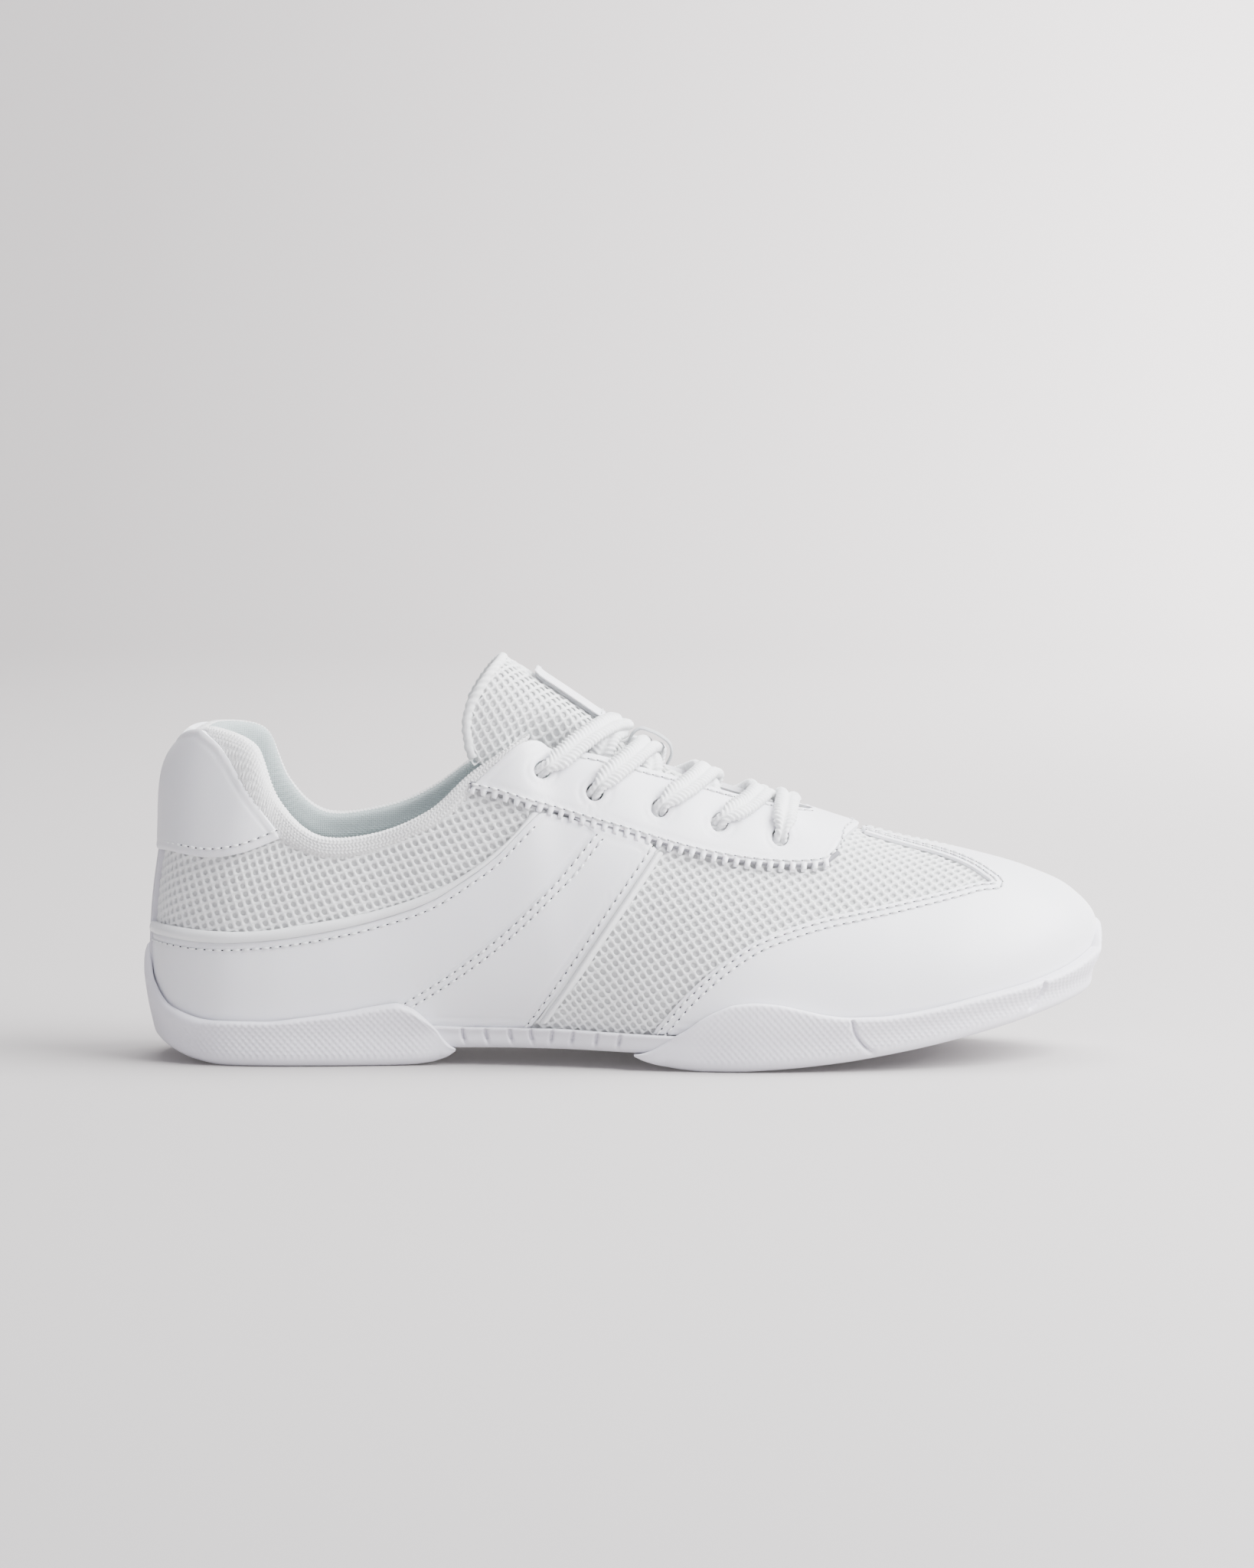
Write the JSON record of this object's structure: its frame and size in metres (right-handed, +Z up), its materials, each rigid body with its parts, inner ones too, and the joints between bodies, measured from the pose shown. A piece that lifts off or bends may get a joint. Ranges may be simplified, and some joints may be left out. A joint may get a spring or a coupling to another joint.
{
  "type": "cheer shoe",
  "caption": "Low white cheer shoe: mesh upper with leather-look overlays, split rubber sole with an arch bridge, padded collar, folding tongue and flat lace.",
  "frame": {"origin": "on the floor under the middle of the shoe's overall box", "axes": "+X to the toe, +Z up, -Y the outer side of this right shoe"},
  "size_m": [0.2671, 0.0939, 0.109],
  "materials": {
    "white_leather": "smooth synthetic leather with a fine grain, satin",
    "white_mesh": "open hexagonal air mesh over a pale backing",
    "grey_knit": "soft knitted lining, pale grey",
    "white_rubber": "matte white rubber with a fine diamond texture",
    "white_foam": "foam and fibre board inside the bottom",
    "white_plastic": "smooth moulded trim, satin",
    "grey_plastic": "dark grey strip, matte",
    "stiffener_board": "hidden stiffener sheet",
    "white_cord": "flat braided lace",
    "grey_webbing": "narrow woven webbing",
    "clear_tip": "smooth clear lace tip"
  },
  "bodies": {
    "shoe": {"vamp_mesh": "white_mesh", "vamp_lining": "grey_knit", "quarter_mesh_lateral": "white_mesh", "quarter_mesh_medial": "white_mesh", "quarter_lining": "grey_knit", "eyestay": "white_leather", "toe_overlay": "white_leather", "toe_puff": "stiffener_board", "stripe_lateral": "white_leather", "stripe_medial": "white_leather", "trim_front_lateral": "white_plastic", "trim_front_medial": "white_plastic", "heel_overlay_lateral": "white_leather", "heel_overlay_medial": "white_leather", "trim_rear_lateral": "white_plastic", "trim_rear_medial": "white_plastic", "heel_tab": "white_leather", "heel_backstay": "grey_plastic", "heel_counter": "stiffener_board", "outsole_heel": "white_rubber", "outsole_forefoot": "white_rubber", "arch_bridge": "white_rubber", "midsole": "white_foam", "strobel_board": "stiffener_board", "sockliner": "grey_knit", "collar": "grey_knit", "tongue_base": "white_mesh", "lace_keeper": "grey_webbing", "lace": "white_cord", "aglet_lateral": "clear_tip", "aglet_medial": "clear_tip"},
    "tongue_top": {"tongue_flap": "white_mesh", "tongue_label": "white_leather"}
  },
  "joints": [
    {"name": "tongue_fold", "type": "hinge", "parent": "shoe", "child": "tongue_top", "pos_m": [-0.006, 0, 0.0926], "axis": [0, 1, 0], "range_deg": [0, 35], "stiffness_Nm_per_rad": 0.06}
  ]
}
